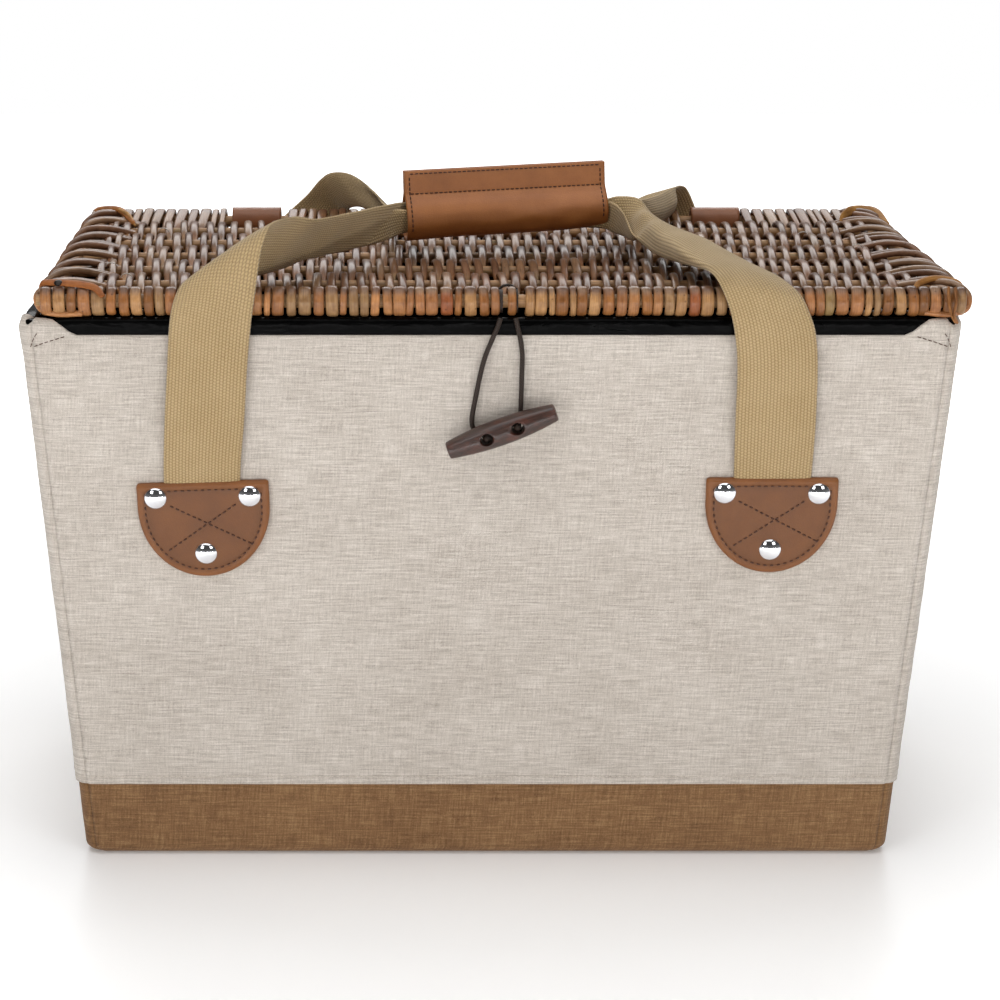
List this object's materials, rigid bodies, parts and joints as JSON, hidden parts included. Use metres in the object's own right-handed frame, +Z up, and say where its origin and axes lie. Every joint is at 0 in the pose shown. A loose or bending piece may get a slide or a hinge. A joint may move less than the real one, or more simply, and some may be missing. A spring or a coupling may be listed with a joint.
{
  "type": "picnic basket",
  "caption": "Fabric-covered tapered picnic basket with a hinged woven willow lid, webbing carry handles joined by a leather grip, and a toggle closed by a cord loop.",
  "frame": {"origin": "middle of the base's flat underside, on the ground", "axes": "+X to the basket's right along its width, the front faces -Y, +Z up"},
  "size_m": [0.5016, 0.3154, 0.3724],
  "materials": {
    "canvas": "linen-look cotton canvas, matte, fine weave with slubs",
    "band_cloth": "brown linen-look canvas, matte",
    "lining": "black glossy lining film",
    "board": "grey-brown fibreboard",
    "foam": "white foam",
    "leather": "tan brown leather look, satin",
    "webbing": "natural cotton webbing, matte",
    "rivet": "polished",
    "washer": "plain",
    "rod": "brown willow rod, semi-gloss",
    "willow": "peeled buff willow, weathered mauve on top and glossy golden brown on the border",
    "binding": "split willow skein, golden tan",
    "cord": "waxed dark brown cord",
    "toggle_wood": "dark stained wood, satin",
    "closing_strip": "hook-and-loop tape, matte"
  },
  "bodies": {
    "basket": {"base_cover": "band_cloth", "base_board": "board", "base_foam": "foam", "front_canvas": "canvas", "back_canvas": "canvas", "left_canvas": "canvas", "right_canvas": "canvas", "front_band": "band_cloth", "back_band": "band_cloth", "left_band": "band_cloth", "right_band": "band_cloth", "front_board": "board", "back_board": "board", "left_board": "board", "right_board": "board", "front_foam": "foam", "back_foam": "foam", "left_foam": "foam", "right_foam": "foam", "liner_bag": "lining", "liner_collar": "lining", "front_left_tab": "leather", "front_right_tab": "leather", "back_left_tab": "leather", "back_right_tab": "leather", "front_left_stub": "webbing", "front_right_stub": "webbing", "back_left_stub": "webbing", "back_right_stub": "webbing", "front_tab_rivets": "rivet", "back_tab_rivets": "rivet", "tab_washers": "washer", "left_hinge_strap": "leather", "right_hinge_strap": "leather", "hinge_rivets": "rivet", "hinge_washers": "washer", "toggle_washer": "washer"},
    "lid": {"lid_front_rod": "rod", "lid_back_rod": "rod", "lid_left_rod": "rod", "lid_right_rod": "rod", "lid_cross_rods": "rod", "lid_weave": "willow", "lid_corner_bindings": "binding", "loop_hitch": "cord"},
    "closure_loop": {"loop_cord": "cord"},
    "toggle": {"toggle": "toggle_wood", "toggle_lashing": "cord"},
    "front_legs": {"front_left_leg": "webbing", "front_right_leg": "webbing"},
    "front_top": {"front_top_webbing": "webbing"},
    "back_legs": {"back_left_leg": "webbing", "back_right_leg": "webbing"},
    "back_top": {"back_top_webbing": "webbing", "grip_back_leaf": "leather", "grip_loop_strip": "closing_strip"},
    "grip_flap": {"grip_front_leaf": "leather", "grip_hook_strip": "closing_strip"}
  },
  "joints": [
    {"name": "lid_hinge", "type": "hinge", "parent": "basket", "child": "lid", "pos_m": [0, 0.138, 0.317], "axis": [-1, 0, 0], "range_deg": [0, 105]},
    {"name": "front_handle_swing", "type": "hinge", "parent": "basket", "child": "front_legs", "pos_m": [0, -0.1426, 0.2228], "axis": [1, 0, 0], "range_deg": [0, 148], "deforming": ["front_left_leg", "front_right_leg"]},
    {"name": "front_handle_fold", "type": "hinge", "parent": "front_legs", "child": "front_top", "pos_m": [0, -0.1505, 0.322], "axis": [1, 0, 0], "range_deg": [0, 58], "deforming": ["front_top_webbing"]},
    {"name": "back_handle_swing", "type": "hinge", "parent": "basket", "child": "back_legs", "pos_m": [0, 0.1426, 0.2228], "axis": [-1, 0, 0], "range_deg": [0, 148], "deforming": ["back_left_leg", "back_right_leg"]},
    {"name": "back_handle_fold", "type": "hinge", "parent": "back_legs", "child": "back_top", "pos_m": [0, 0.1532, 0.322], "axis": [-1, 0, 0], "range_deg": [0, 58], "deforming": ["back_top_webbing"]},
    {"name": "grip_open", "type": "hinge", "parent": "back_top", "child": "grip_flap", "pos_m": [0.012, -0.006, 0.3335], "axis": [0.9873, 0.1564, 0.0297], "range_deg": [0, 60]},
    {"name": "loop_swing", "type": "hinge", "parent": "lid", "child": "closure_loop", "pos_m": [0.009, -0.1472, 0.3096], "axis": [1, 0, 0], "range_deg": [0, 85], "deforming": ["loop_cord"]},
    {"name": "toggle_turn", "type": "hinge", "parent": "basket", "child": "toggle", "pos_m": [0.006, -0.14305, 0.2508], "axis": [0, -0.9982, -0.0599], "range_deg": [-110, 69]}
  ],
  "couplings": [
    {"joint": "front_handle_swing", "follows": "lid_hinge", "ratio": 1.4},
    {"joint": "front_handle_fold", "follows": "lid_hinge", "ratio": 0.54},
    {"joint": "back_handle_swing", "follows": "lid_hinge", "ratio": 1.4},
    {"joint": "back_handle_fold", "follows": "lid_hinge", "ratio": 0.54},
    {"joint": "loop_swing", "follows": "lid_hinge", "ratio": 0.8}
  ]
}
